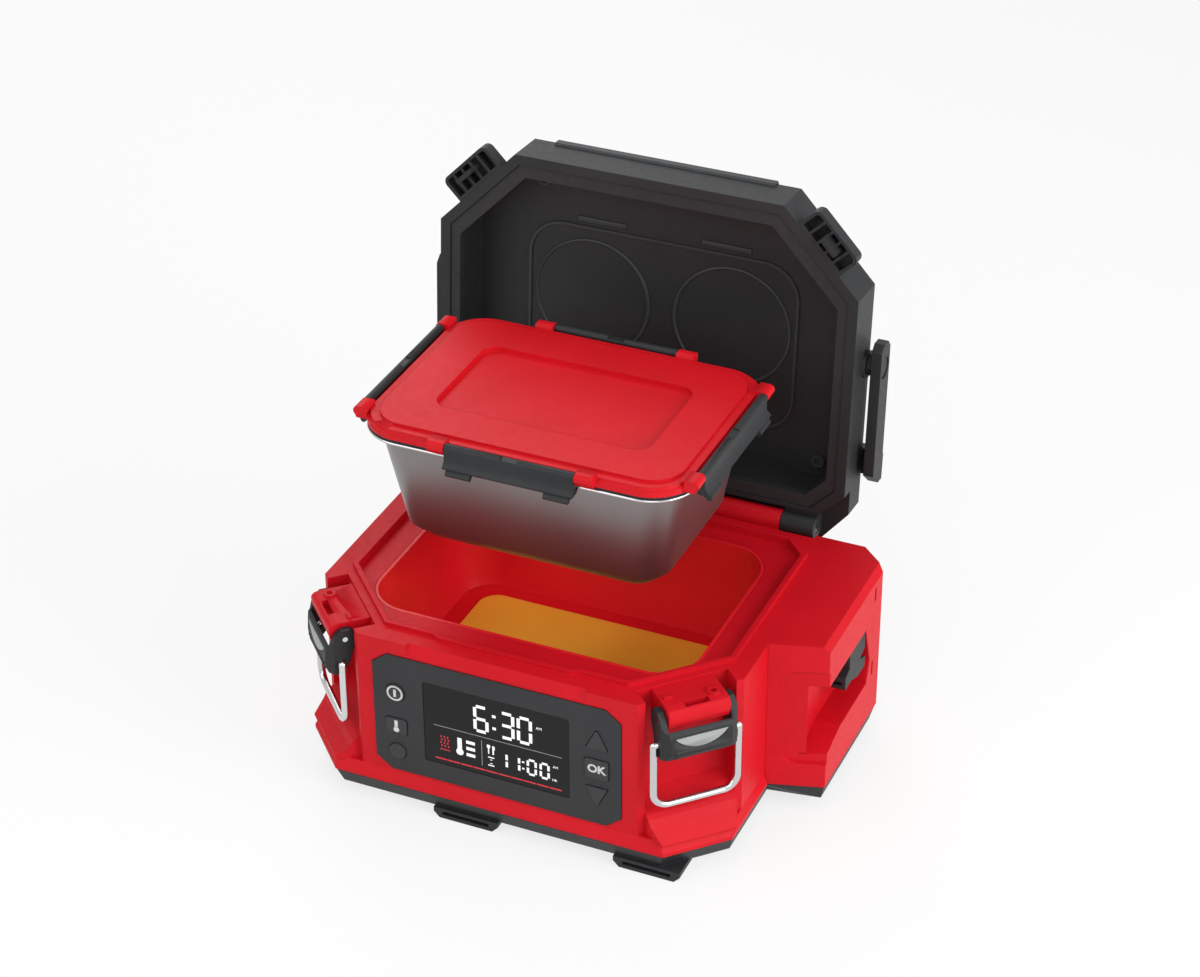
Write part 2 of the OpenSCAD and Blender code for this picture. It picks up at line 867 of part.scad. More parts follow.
// Black lever: a bowed face below the keeper, and a cheek on the pin at each side
module lever() color(black) {
  difference() {
    union() {
      along_x(-lever_half, lever_half, [
        [-12.5, rim_z - 13.2],
        [-14, rim_z - 13.8],
        [-14.6, rim_z - 19],
        [-15, rim_z - 24],
        [-14.6, rim_z - 28],
        [-13.4, rim_z - 30.6],
        [-11.6, rim_z - 30.6],
        [-12.2, rim_z - 24],
        [-12.5, rim_z - 19]
      ]);
      for (s = [0, 1])
        mirror([s, 0, 0])
          along_x(cheek_in, lever_half, [
            [-1, rim_z - 3.4],
            [-6, rim_z - 3.4],
            [-9.5, rim_z - 6.5],
            [-12.5, rim_z - 13.2],
            [-14, rim_z - 13.8],
            [-14.6, rim_z - 19],
            [-15, rim_z - 24],
            [-14.6, rim_z - 28],
            [-13.4, rim_z - 30.6],
            [-6, rim_z - 31],
            [-3, rim_z - 27],
            [2, rim_z - 12],
            [2, rim_z - 6]
          ]);
      // two grip ribs near the lower edge
      for (rib = [[-14.4, 26.4], [-13.9, 29.2]])
        rod_x(-face_half + 2, face_half - 2, rib[0], rim_z - rib[1], 1, $fn = 24);
    }
    rod_x(-50, 50, pin_at[0], pin_at[1], pin_r + pin_gap);
    rod_x(-50, 50, bail_at[0], bail_at[1], wire_r + pin_gap);
    // the face turns back at both sides
    for (s = [0, 1])
      mirror([s, 0, 0])
        translate([0, 0, rim_z - 40])
          linear_extrude(40)
            polygon([[face_half, -20], [face_half, -15.2], [lever_half + 1, -10], [lever_half + 9, -20]]);
    // seat of the pale grip pad
    facing(-20, -13.2) lens(0.1);
  }
}

// Pale pad let into the lever's face
module grip_pad() color("#b5b8ba") {
  intersection() {
    facing(-20, -13.2) lens(0);
    along_x(-16, 16, [
      [-13, rim_z - 16],
      [-14.6, rim_z - 16],
      [-14.9, rim_z - 19],
      [-15.3, rim_z - 25],
      [-13, rim_z - 25]
    ]);
  }
}

module latch_pin() color(steel) rod_x(-lever_half, lever_half, pin_at[0], pin_at[1], pin_r);

// Wire bail: two legs, a lower bar, round corners, and ends turned in through the cheeks
module bail() color(steel) {
  leg_x = lever_half + gap + wire_r;
  bend = 9;
  low = bail_at[1] - bail_len;
  translate([0, bail_at[0], 0]) {
    for (s = [-1, 1])
      mirror([s < 0 ? 1 : 0, 0, 0]) {
        translate([leg_x, 0, low + bend])
          cylinder(h = bail_len - bend, r = wire_r);
        translate([leg_x - bend, 0, low + bend])
          rotate([90, 0, 0])
            rotate_extrude_quarter(bend, wire_r);
        translate([leg_x, 0, bail_at[1]])
          sphere(wire_r);
        rod_x(cheek_in + 0.3, leg_x, 0, bail_at[1], wire_r);
      }
    rod_x(bend - leg_x, leg_x - bend, 0, low, wire_r);
  }
}

// A quarter of a wire ring in the lower right quadrant
module rotate_extrude_quarter(bend, r) {
  rotate([0, 0, -90])
    rotate_extrude(angle = 90)
      translate([bend, 0]) circle(r);
}

module right_keeper() placed() at_corner() keeper();
module left_keeper() placed() at_left_corner() keeper();
module right_lever() placed() at_corner() lever();
module left_lever() placed() at_left_corner() lever();
module right_grip() placed() at_corner() grip_pad();
module left_grip() placed() at_left_corner() grip_pad();
module right_latch_pin() placed() at_corner() latch_pin();
module left_latch_pin() placed() at_left_corner() latch_pin();
module right_bail() placed() at_corner() bail();
module left_bail() placed() at_left_corner() bail();

/* ---------- Lid, drawn closed and then swung open ---------- */

lid_cut = -2;
lid_rear = hinge_y - 9.5;
channel_inset = 6;
channel_rear = rib_rear + channel_inset + 0.5;
roof_low = hinge_z + knuckle_r + 2;
roof_bevel = 3;
handle_pin_r = 2.5;

module lid_slab(z1, z2, inward, rear) {
  slab(z1, z2, 0.5 + inward, lid_side - inward, rear - inward, lid_cut - inward, 14);
}

module lid_shell() placed() color(black) opened() {
  difference() {
    union() {
      lid_slab(lid_z, lid_top_z - 4, 0, lid_rear);
      // roof that runs out over the hinge, with its upper edge bevelled
      hull() {
        translate([0, 0, roof_low])
          linear_extrude(lid_top_z - roof_low - 4)
            roof_plan(0);
        translate([0, 0, lid_top_z - 0.1])
          linear_extrude(0.1)
            roof_plan(roof_bevel);
      }
      // knuckles at both ends of the body's knuckle
      for (s = [-1, 1])
        mirror([s < 0 ? 1 : 0, 0, 0])
          union() {
            rod_x(knuckle_x + 0.5, knuckle_x + lid_knuckle, hinge_y, hinge_z, knuckle_r);
            along_x(knuckle_x + 0.5, knuckle_x + lid_knuckle, [
              [lid_rear - 1, hinge_z + 1],
              [hinge_y - 3, hinge_z + 1],
              [hinge_y + knuckle_r, hinge_z],
              [hinge_y + knuckle_r, roof_low + 1],
              [lid_rear - 1, roof_low + 1]
            ]);
          }
      // bosses for the handle's pivots
      for (s = [-1, 1])
        rod_x(s > 0 ? lid_side - 3 : -lid_side - 1.2, s > 0 ? lid_side + 1.2 : -lid_side + 3,
          handle_y, handle_z, 8);
    }
    lid_hollow(lid_z - 1, lid_top_z - lid_top_t, 0);
    // channel of the seal, with room for the body's rib
    lid_slab(lid_z - 1, seal_z + 4, channel_inset, channel_rear);
    rod_x(-body_w, body_w, hinge_y, hinge_z, rod_d / 2 + pin_gap);
    rod_x(-body_w, body_w, handle_y, handle_z, handle_pin_r);
  }
}

// Hollow inside the lid's rim, grown by a distance
module lid_hollow(z1, z2, grow) {
  slab(z1, z2, lid_rim_w - grow, lid_side - lid_rim_w + 2 + grow, lid_rear - lid_rim_w + 4 + grow,
    lid_cut - lid_rim_w + grow, 12);
}

// Plan of the roof: the lid's own front and a rear that runs past the hinge with cut corners
module roof_plan(inward) {
  side = lid_side - inward;
  polygon(both_halves([
    [cut_x(0.5 + inward, lid_cut - inward), 0.5 + inward],
    [side, cut_y(side, lid_cut - inward)],
    [side, hinge_y - 8],
    [102 - inward, hinge_y + 21 - inward]
  ]));
}

module lid_seal() placed() color("#111214") opened() {
  difference() {
    lid_slab(seal_z, seal_z + 4, channel_inset + 0.1, channel_rear);
    lid_hollow(seal_z - 1, seal_z + 5, 0.1);
  }
}

// Pale bar across the middle of the lid's front
module lid_front_cap() placed() color("#3c3e41") opened() {
  along_x(-66, 66, [
    [0.5, lid_top_z - 8.5],
    [-1, lid_top_z - 7.8],
    [-1, lid_top_z - 3],
    [1.2, lid_top_z - 1],
    [0.5 + roof_bevel * 0.75, lid_top_z - 1],
    [0.5, lid_top_z - 4]
  ]);
}

// Plan of a lid catch with its two outer corners rounded, moved inward by a distance
module catch_plan(inward) {
  half = 18 - inward;
  r = 4 - inward;
  out = -13.5 + inward;
  translate([-1.5, 0]) {
    translate([-half, out + r]) square([2 * half, -lid_cut - inward - out - r]);
    translate([r - half, out]) square([2 * (half - r), r + 1]);
    for (s = [-1, 1])
      translate([s * (half - r), out + r]) circle(r);
  }
}

// Catch on a lid corner that the bail hooks over: a shelf with open cells below, and a tongue
module catch() color(black) {
  cells = 5;
  rib = 1.6;
  inner = 32;
  pitch = (inner + rib) / cells;
  difference() {
    translate([0, 0, lid_z]) linear_extrude(8) catch_plan(0);
    translate([0, 0, lid_z - 1])
      linear_extrude(7.2)
        intersection() {
          catch_plan(2);
          for (i = [0 : cells - 1])
            translate([-1.5 - inner / 2 + i * pitch, -20])
              square([pitch - rib, 30]);
        }
  }
  translate([slot_x[0] + 1, slot_y[0] + 0.6, rim_z - 5])
    cube([slot_x[1] - slot_x[0] - 2, slot_y[1] - slot_y[0] - 1.2, lid_z - rim_z + 12]);
}

module right_catch() placed() opened() at_corner() catch();
module left_catch() placed() opened() at_left_corner() catch();

module hinge_rod() placed() color(steel)
  rod_x(-knuckle_x - lid_knuckle, knuckle_x + lid_knuckle, hinge_y, hinge_z, rod_d / 2);

/* ---------- Carry handle, drawn on the closed lid ---------- */

module carry_handle() placed() color(black) opened() {
  rear = handle_y + handle_len;
  difference() {
    union() {
      for (s = [0, 1])
        mirror([s, 0, 0]) {
          along_x(arm_x, arm_out, [
            [handle_y - 15, handle_z - 3],
            [handle_y - 11, handle_z - 7],
            [rear, handle_z - 6],
            [rear + 8, handle_z + 4],
            [rear + 8, handle_z + handle_rise],
            [rear - 8, handle_z + handle_rise],
            [rear - 8, handle_z + 9],
            [handle_y - 11, handle_z + 7.5],
            [handle_y - 15, handle_z + 3.5]
          ]);
          // washer face toward the lid
          rod_x(washer_x, arm_x + 0.2, handle_y, handle_z, 6);
        }
      // grip across the lid
      along_x(-arm_x - 1, arm_x + 1, [
        [rear - 8, handle_z + 10.5],
        [rear + 8, handle_z + 10.5],
        [rear + 8, handle_z + 17],
        [rear + 5, handle_z + handle_rise],
        [rear - 5, handle_z + handle_rise],
        [rear - 8, handle_z + 17]
      ]);
    }
    rod_x(-body_w, body_w, handle_y, handle_z, handle_pin_r + pin_gap);
    for (s = [0, 1])
      mirror([s, 0, 0]) {
        // round recess of the pin's head
        rod_x(arm_out - 2.4, arm_out + 1, handle_y, handle_z, 6.5);
        // outer edge cut back where the arm rises to the grip
        facing(rear - 20, rear + 20)
          polygon([
            [arm_out, handle_z + handle_rise / 2],
            [arm_out + 20, handle_z + handle_rise / 2],
            [arm_out + 20, handle_z + 2 * handle_rise],
            [arm_out - 1.5 * handle_rise, handle_z + 2 * handle_rise]
          ]);
      }
  }
}

module handle_pins() placed() color("#2a2b2d") opened()
  for (s = [0, 1])
    mirror([s, 0, 0]) {
      rod_x(lid_side - lid_rim_w + 2.5, arm_out - 2.2, handle_y, handle_z, handle_pin_r);
      rod_x(arm_out - 2.3, arm_out - 0.6, handle_y, handle_z, 6);
    }

/* ---------- Food container, drawn lifted out ---------- */

lid_under = tray_rim_z + 1.5;
clip_pin = [2.3, lid_under + 4.6];
clip_pin_r = 1;

module tray_shape(inward) {
  translate([tray_x, tray_y, 0])
    hull() {
      round_slab(tray_z + inward, tray_z + inward + 0.1,
        tray_w - 52 - 2 * inward, tray_d - 48 - 2 * inward, 12 - inward, $fn = 32);
      round_slab(tray_z + 9, tray_z + 9.1,
        tray_w - 34 - 2 * inward, tray_d - 30 - 2 * inward, 18 - inward, $fn = 32);
      round_slab(tray_rim_z - 0.1, tray_rim_z,
        tray_w - 12 - 2 * inward, tray_d - 12 - 2 * inward, 20 - inward, $fn = 32);
    }
}

module food_container() placed() color(steel) {
  difference() {
    union() {
      tray_shape(0);
      translate([tray_x, tray_y, 0])
        round_slab(tray_rim_z - 1.5, tray_rim_z, tray_w, tray_d, 25);
    }
    tray_shape(tray_t);
    translate([tray_x, tray_y, 0])
      round_slab(tray_rim_z - 0.05, tray_rim_z + 1,
        tray_w - 12 - 2 * tray_t, tray_d - 12 - 2 * tray_t, 20 - tray_t);
  }
}

module container_seal() placed() color("#17181a")
  translate([tray_x, tray_y, 0])
    difference() {
      round_slab(tray_rim_z, lid_under, tray_w - 1, tray_d - 1, 24.5);
      round_slab(tray_rim_z - 1, lid_under + 1, tray_w - 8, tray_d - 8, 21);
    }

// Places children on the middle of each rim side: X along the rim, Y outward is negative
module at_side(side) {
  turn = side == "front" ? 0 : side == "right" ? 90 : side == "rear" ? 180 : 270;
  reach = side == "front" || side == "rear" ? tray_d / 2 : tray_w / 2;
  translate([tray_x, tray_y, 0])
    rotate([0, 0, turn])
      translate([0, -reach, 0])
        children();
}

function clip_length(side) = side == "front" || side == "rear" ? clip_front : clip_side;

module container_lid() placed() color(red) {
  difference() {
    union() {
      translate([tray_x, tray_y, 0]) {
        round_slab(lid_under, lid_under + 3.2, tray_w, tray_d, 25);
        round_slab(lid_under + 3, lid_under + 5, tray_w - 4, tray_d - 4, 23);
        round_slab(lid_under + 4.8, lid_under + 6.5, tray_w - 14, tray_d - 14, 18);
      }
      for (side = ["front", "rear", "right", "left"])
        at_side(side)
          for (s = [-1, 1])
            translate([s * (clip_length(side) / 2 + gap + 5), 0, 0])
              lug();
    }
    // sunk field in the middle of the lid
    translate([tray_x, tray_y, 0])
      round_slab(lid_under + 3.6, lid_under + 10, 124.5, 70.5, 9);
    for (side = ["front", "rear", "right", "left"])
      at_side(side)
        rod_x(-clip_length(side) / 2 - 10, clip_length(side) / 2 + 10, -clip_pin[0], clip_pin[1], clip_pin_r);
    // room for each clip between its lugs
    for (side = ["front", "rear", "right", "left"])
      at_side(side)
        rod_x(-clip_length(side) / 2 - gap, clip_length(side) / 2 + gap, -clip_pin[0], clip_pin[1], 2.9);
  }
}

module lug() {
  along_x(-5, 5, [
    [3, lid_under + 0.5],
    [-3.4, lid_under + 0.5],
    [-clip_pin[0] - 2.9, clip_pin[1]],
    [-clip_pin[0], clip_pin[1] + 2.9],
    [3, clip_pin[1] + 2.9]
  ]);
  rod_x(-5, 5, -clip_pin[0], clip_pin[1], 2.9);
}

module clip_pins() placed() color(steel)
  for (side = ["front", "rear", "right", "left"])
    at_side(side)
      rod_x(-clip_length(side) / 2 - 8, clip_length(side) / 2 + 8, -clip_pin[0], clip_pin[1], clip_pin_r);

// Clip: barrel on its pin, arm down past the rim, hook under the rim and a flared lip
module clip(side) color(black) {
  half = clip_length(side) / 2;
  at_side(side)
    difference() {
      union() {
        rod_x(-half, half, -clip_pin[0], clip_pin[1], 2.5);
        along_x(-half, half, [
          [-clip_pin[0] + 0.6, clip_pin[1] - 2],
          [-1, lid_under - 1],
          [-1, tray_rim_z - 2.6],
          [0.9, tray_rim_z - 2.2],
          [0.9, tray_rim_z - 3.4],
          [-1, tray_rim_z - 4.6],
          [-6.5, tray_rim_z - 4.8],
          [-7.4, tray_rim_z - 3.6],
          [-4.6, tray_rim_z - 0.6],
          [-4.8, clip_pin[1]]
        ]);
        // finger hooks under both ends of the lower edge
        for (s = [-1, 1])
          translate([s * (half - 9), 0, 0])
            along_x(-7, 7, [
              [-1.2, tray_rim_z - 4.5],
              [-7, tray_rim_z - 4.5],
              [-8, tray_rim_z - 7],
              [-7, tray_rim_z - 8.4],
              [-5.6, tray_rim_z - 8.4],
              [-3, tray_rim_z - 6]
            ]);
      }
      // notch in the middle of the top edge
      translate([-5, -clip_pin[0] - 4, clip_pin[1] + 1.3])
        cube([10, 8, 5]);
      rod_x(-half - 1, half + 1, -clip_pin[0], clip_pin[1], clip_pin_r + pin_gap);
    }
}

module front_clip() placed() clip("front");
module rear_clip() placed() clip("rear");
module right_clip() placed() clip("right");
module left_clip() placed() clip("left");

module base_screws() placed() color(steel)
  for (x = [-screw_x, screw_x], y = screw_y)
    translate([x, y, base_floor - 2])
      union() {
        cylinder(h = 2, r = 3.4);
        cylinder(h = 26, r = 1.6);
      }

body_shell();
base_tray();
battery_housing();
terminal_block();
chamber_liner();
heating_plate();
heater_element();
insulation_pad();
heater_pan();
thermostat();
power_board();
control_panel();
display_window();
display_module();
control_board();
power_button();
temperature_button();
mode_button();
up_button();
ok_button();
down_button();
right_keeper();
left_keeper();
right_lever();
left_lever();
right_grip();
left_grip();
right_latch_pin();
left_latch_pin();
right_bail();
left_bail();
hinge_rod();
lid_shell();
lid_seal();
lid_front_cap();
right_catch();
left_catch();
carry_handle();
handle_pins();
food_container();
container_seal();
container_lid();
clip_pins();
front_clip();
rear_clip();
right_clip();
left_clip();
base_screws();
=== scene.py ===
import json
import math

import bpy
from mathutils import Matrix, Vector


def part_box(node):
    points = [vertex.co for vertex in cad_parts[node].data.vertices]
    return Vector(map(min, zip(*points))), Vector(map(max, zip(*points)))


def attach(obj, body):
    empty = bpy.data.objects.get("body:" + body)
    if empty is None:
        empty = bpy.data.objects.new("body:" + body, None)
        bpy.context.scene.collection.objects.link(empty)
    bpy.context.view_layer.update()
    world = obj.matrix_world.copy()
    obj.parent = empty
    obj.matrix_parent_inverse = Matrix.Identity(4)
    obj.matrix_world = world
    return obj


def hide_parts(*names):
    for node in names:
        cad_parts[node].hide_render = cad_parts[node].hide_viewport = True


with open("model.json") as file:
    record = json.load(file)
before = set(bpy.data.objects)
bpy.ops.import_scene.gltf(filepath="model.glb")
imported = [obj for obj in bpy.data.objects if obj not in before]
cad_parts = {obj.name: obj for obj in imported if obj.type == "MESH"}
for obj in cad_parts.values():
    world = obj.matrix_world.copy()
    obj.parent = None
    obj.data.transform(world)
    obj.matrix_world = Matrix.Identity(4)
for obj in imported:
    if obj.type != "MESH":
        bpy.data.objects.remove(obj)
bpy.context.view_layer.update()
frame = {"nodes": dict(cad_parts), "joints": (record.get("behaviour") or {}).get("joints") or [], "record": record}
nodes = frame["nodes"]
bodies = frame["record"]["behaviour"]["bodies"]
bpy.ops.object.select_all(action="DESELECT")

# ---------------------------------------------------------------------------
# Camera: where the photographer stood, a long lens looking down at the box
# from the front and a little to its right. Its place was solved from the photo.
# ---------------------------------------------------------------------------
AZIMUTH = math.radians(23.94)
ELEVATION = math.radians(32.22)
ROLL = math.radians(-0.33)
STANDPOINT = (0.5643, -1.27125, 1.03434)
LENS_MM = 89.73
SENSOR_MM = 36.0
FARTHEST = 20.0

camera_data = bpy.data.cameras.new("camera")
camera_data.lens = LENS_MM
camera_data.sensor_width = SENSOR_MM
camera_data.clip_end = FARTHEST
camera = bpy.data.objects.new("camera", camera_data)
bpy.context.scene.collection.objects.link(camera)
camera.matrix_world = (
    Matrix.Translation(STANDPOINT)
    @ Matrix.Rotation(AZIMUTH, 4, "Z")
    @ Matrix.Rotation(math.pi / 2 - ELEVATION, 4, "X")
    @ Matrix.Rotation(ROLL, 4, "Z")
)
bpy.context.scene.camera = camera
bpy.context.scene.view_settings.view_transform = "Standard"

# ---------------------------------------------------------------------------
# Red body, battery housing and latch keepers: glass-filled nylon, injection
# moulded, with a fine satin skin that breaks up the light and edges that catch it.
# ---------------------------------------------------------------------------
CLOUD_SCALE = 22
PATCH_SCALE = 260
SKIN_SCALE = 2600
SKIN_DEPTH = 0.0003
EDGE_ROUNDING = 0.0007
NOISE_LOW, NOISE_HIGH = 0.3, 0.7
SAME_POINT = 0.000004
SAME_PLANE = math.radians(0.6)


def node_tree(name):
    """A new material, its node tree and its shader."""
    material = bpy.data.materials.new(name)
    material.use_nodes = True
    tree = material.node_tree
    return material, tree, tree.nodes["Principled BSDF"]


def add_node(tree, kind, **values):
    """A new shader node with its inputs set; an underscore stands for a space in an input's name."""
    node = tree.nodes.new(kind)
    for key, value in values.items():
        node.inputs[key.replace("_", " ")].default_value = value
    return node


def noise_range(tree, scale, low, high, detail=3.0):
    """A noise on the piece's own coordinates, turned into numbers from low to high."""
    place = tree.nodes.new("ShaderNodeTexCoord")
    noise = add_node(tree, "ShaderNodeTexNoise", Scale=scale, Detail=detail)
    spread = add_node(
        tree, "ShaderNodeMapRange", From_Min=NOISE_LOW, From_Max=NOISE_HIGH, To_Min=low, To_Max=high)
    tree.links.new(place.outputs["Object"], noise.inputs["Vector"])
    tree.links.new(noise.outputs["Fac"], spread.inputs["Value"])
    return spread.outputs["Result"], noise.outputs["Fac"]


def moulded_plastic(name, colour, cloud, rough, grain=0.05, shine=0.5):
    """Plastic with a faint cloud in its colour, a fine grained skin and rounded edges."""
    material, tree, shader = node_tree(name)
    blend = tree.nodes.new("ShaderNodeMix")
    blend.data_type = "RGBA"
    blend.inputs["A"].default_value = (*cloud, 1)
    blend.inputs["B"].default_value = (*colour, 1)
    drift, _ = noise_range(tree, CLOUD_SCALE, 0.0, 1.0)
    tree.links.new(drift, blend.inputs["Factor"])
    tree.links.new(blend.outputs["Result"], shader.inputs["Base Color"])
    patches, _ = noise_range(tree, PATCH_SCALE, *rough)
    tree.links.new(patches, shader.inputs["Roughness"])
    _, skin = noise_range(tree, SKIN_SCALE, 0.0, 1.0, detail=2.0)
    round_edge = add_node(tree, "ShaderNodeBevel", Radius=EDGE_ROUNDING)
    round_edge.samples = 4
    bump = add_node(tree, "ShaderNodeBump", Strength=grain, Distance=SKIN_DEPTH)
    tree.links.new(skin, bump.inputs["Height"])
    tree.links.new(round_edge.outputs["Normal"], bump.inputs["Normal"])
    tree.links.new(bump.outputs["Normal"], shader.inputs["Normal"])
    shader.inputs["Specular IOR Level"].default_value = shine
    return material


def dress(material, *names):
    """Puts the material in every slot of the named CAD nodes."""
    for name in names:
        for slot in nodes[name].material_slots:
            slot.material = material


def body_of(name):
    """The body that a CAD node rides on."""
    return next(body for body, members in bodies.items() if name in members)


def faired(name, material, angle=30):
    """Stands for a CAD solid: the same shape with its triangles joined and its curves shaded smooth."""
    piece = bpy.data.objects.new(name + "_faired", nodes[name].data.copy())
    bpy.context.scene.collection.objects.link(piece)
    piece.data.materials.clear()
    piece.data.materials.append(material)
    bpy.context.view_layer.objects.active = piece
    piece.select_set(True)
    bpy.ops.object.mode_set(mode="EDIT")
    bpy.ops.mesh.select_all(action="SELECT")
    bpy.ops.mesh.remove_doubles(threshold=SAME_POINT)
    bpy.ops.mesh.dissolve_limited(angle_limit=SAME_PLANE)
    bpy.ops.object.mode_set(mode="OBJECT")
    bpy.ops.object.shade_smooth_by_angle(angle=math.radians(angle))
    piece.select_set(False)
    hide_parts(name)
    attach(piece, body_of(name))


red_nylon = moulded_plastic(
    "red_nylon", colour=(0.60, 0.005, 0.014), cloud=(0.54, 0.004, 0.011), rough=(0.44, 0.54), shine=0.16)
dress(red_nylon, "body_shell", "battery_housing")
for keeper in ("right_keeper", "left_keeper"):
    faired(keeper, red_nylon)

# ---------------------------------------------------------------------------
# Black covers: the same nylon in charcoal, duller, for the tray, lid, handle,
# latch levers, catches, container clips and the contact block in the dock.
# ---------------------------------------------------------------------------
black_nylon = moulded_plastic(
    "black_nylon", colour=(0.020, 0.021, 0.023), cloud=(0.014, 0.015, 0.016), rough=(0.48, 0.55), shine=0.3)
dress(black_nylon, "base_tray", "terminal_block", "lid_shell")
for moulding in ("right_lever", "left_lever", "right_catch", "left_catch", "carry_handle", "handle_pins",
                 "front_clip", "rear_clip", "right_clip", "left_clip"):
    faired(moulding, black_nylon)

# ---------------------------------------------------------------------------
# Heating chamber: the body's red moulded as one tub, with a golden coated plate
# let into its floor. Both carry painted light: the tub's red is a lightened
# copy of the body's and the plate's gold is lightened too, to make up for the
# shade inside the chamber.
# ---------------------------------------------------------------------------
# painted light: the body's red, lightened for the shaded inside of the chamber
liner_red_painted_light = moulded_plastic(
    "liner_red_painted_light", colour=(0.78, 0.010, 0.018), cloud=(0.72, 0.008, 0.015), rough=(0.36, 0.46), shine=0.3)
faired("chamber_liner", liner_red_painted_light, angle=32)

# partly painted light: the plate's own gold, lightened to make up for the chamber's shade
golden_coat_painted_light = moulded_plastic(
    "golden_coat_painted_light", colour=(0.98, 0.50, 0.045), cloud=(0.92, 0.45, 0.036), rough=(0.36, 0.5), shine=0.4)
dress(golden_coat_painted_light, "heating_plate")

# ---------------------------------------------------------------------------
# Latch wires, pins and screws: drawn steel wire, polished, with fine drawing
# lines along it. The latch levers' grip pads are pale nylon, pressed in.
# ---------------------------------------------------------------------------
BROAD_SCALE = 14
LINE_DEPTH = 0.0002


def brushed_metal(name, colour, rough, stretch, patch=0.25, relief=0.08):
    """Metal with fine lines, and broad darker patches where its finish turns the light away."""
    material, tree, shader = node_tree(name)
    shader.inputs["Metallic"].default_value = 1.0
    place = tree.nodes.new("ShaderNodeTexCoord")
    mapping = add_node(tree, "ShaderNodeMapping", Scale=stretch)
    tree.links.new(place.outputs["Object"], mapping.inputs["Vector"])
    lines = add_node(tree, "ShaderNodeTexNoise", Scale=1.0, Detail=4.0)
    tree.links.new(mapping.outputs["Vector"], lines.inputs["Vector"])
    spread = add_node(tree, "ShaderNodeMapRange", To_Min=rough[0], To_Max=rough[1])
    tree.links.new(lines.outputs["Fac"], spread.inputs["Value"])
    tree.links.new(spread.outputs["Result"], shader.inputs["Roughness"])
    broad, _ = noise_range(tree, BROAD_SCALE, 1.0 - patch, 1.0, detail=1.0)
    tint = tree.nodes.new("ShaderNodeMix")
    tint.data_type = "RGBA"
    tint.blend_type = "MULTIPLY"
    tint.inputs["Factor"].default_value = 1.0
    tint.inputs["A"].default_value = (*colour, 1)
    tree.links.new(broad, tint.inputs["B"])
    tree.links.new(tint.outputs["Result"], shader.inputs["Base Color"])
    bump = add_node(tree, "ShaderNodeBump", Strength=relief, Distance=LINE_DEPTH)
    tree.links.new(lines.outputs["Fac"], bump.inputs["Height"])
    tree.links.new(bump.outputs["Normal"], shader.inputs["Normal"])
    return material


bright_wire = brushed_metal(
    "bright_wire", colour=(0.66, 0.66, 0.67), rough=(0.14, 0.26), stretch=(300, 300, 300))
dress(bright_wire, "hinge_rod", "right_latch_pin", "left_latch_pin", "clip_pins", "base_screws")
for wire in ("right_bail", "left_bail"):
    faired(wire, bright_wire, angle=60)

pale_nylon = moulded_plastic(
    "pale_nylon", colour=(0.36, 0.37, 0.37), cloud=(0.30, 0.31, 0.31), rough=(0.4, 0.55))
for pad in ("right_grip", "left_grip"):
    faired(pad, pale_nylon)

# ---------------------------------------------------------------------------
# Lid: a black shell with a charcoal bar on its front and a seal of black
# silicone pressed into the channel of its rim, as into the container's lid.
# ---------------------------------------------------------------------------
# charcoal of the lid's front bar; the same grey on the ceiling lines and bosses, paler than the black shell, is a
# painted highlight
grey_nylon_and_painted_highlight = moulded_plastic(
    "grey_nylon_and_painted_highlight", colour=(0.035, 0.037, 0.040), cloud=(0.028, 0.029, 0.032), rough=(0.4, 0.5), shine=0.3)
dress(grey_nylon_and_painted_highlight, "lid_front_cap")
silicone = moulded_plastic(
    "silicone", colour=(0.012, 0.012, 0.013), cloud=(0.008, 0.008, 0.009), rough=(0.6, 0.75), grain=0.02)
dress(silicone, "lid_seal", "container_seal")

# ---------------------------------------------------------------------------
# Lid ceiling: lines and screw bosses moulded inside the shell, drawn in a grey
# paler than the black shell as a painted highlight where they catch the light.
# They are placed with the lid shut, x being the distance from the lid's
# middle and forward that from its hinge, and then swung open with it.
# ---------------------------------------------------------------------------
mm = 0.001
CEILING = 140 * mm
ROUND_LINE_RADIUS = 35 * mm
ROUND_LINE_HALF = 1.1 * mm
ROUND_LINE_X = 43 * mm
ROUND_LINE_FORWARD = 100.5 * mm
SLOT_LINE = (30 * mm, 3.4 * mm, 2.2 * mm)
SLOT_LINE_EDGE = 0.7 * mm
SLOT_LINE_X = 38 * mm
SLOT_LINE_FORWARD = 148 * mm
BOSS_RADIUS = 4 * mm
BOSS_LENGTH = 4.6 * mm
BOSS_WALL = 1.9 * mm
BOSS_HOLE = 1.9 * mm
BOSSES = {"front": (74 * mm, 168 * mm), "rear": (100 * mm, 28 * mm)}
FRAME_WIDTH = 166 * mm
FRAME_DEPTH = 104 * mm
FRAME_CORNER = 22 * mm
FRAME_LINE = 1.8 * mm
FRAME_RELIEF = 1.1 * mm
FRAME_FORWARD = 92 * mm

middle_x = sum(corner.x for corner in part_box("control_panel")) / 2
lid_joint = next(joint for joint in frame["joints"] if joint["name"] == "lid_hinge")
hinge = Vector(lid_joint["pos_m"])
open_turn = math.radians(lid_joint["range_deg"][0])
swing = Matrix.Translation(hinge) @ Matrix.Rotation(open_turn, 4, "X") @ Matrix.Translation(-hinge)


def on_ceiling(name, x, forward):
    """Names the new mesh, places it under the lid's roof and swings it open."""
    piece = bpy.context.object
    piece.name = name
    piece.data.name = name
    piece.data.transform(swing @ Matrix.Translation((middle_x + x, hinge.y - forward, CEILING)))
    # painted highlight: a grey paler than the shell, standing in for the light the ceiling pieces catch
    piece.data.materials.append(grey_nylon_and_painted_highlight)
    bpy.ops.object.shade_smooth_by_angle(angle=math.radians(40))
    piece.select_set(False)
    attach(piece, "lid")


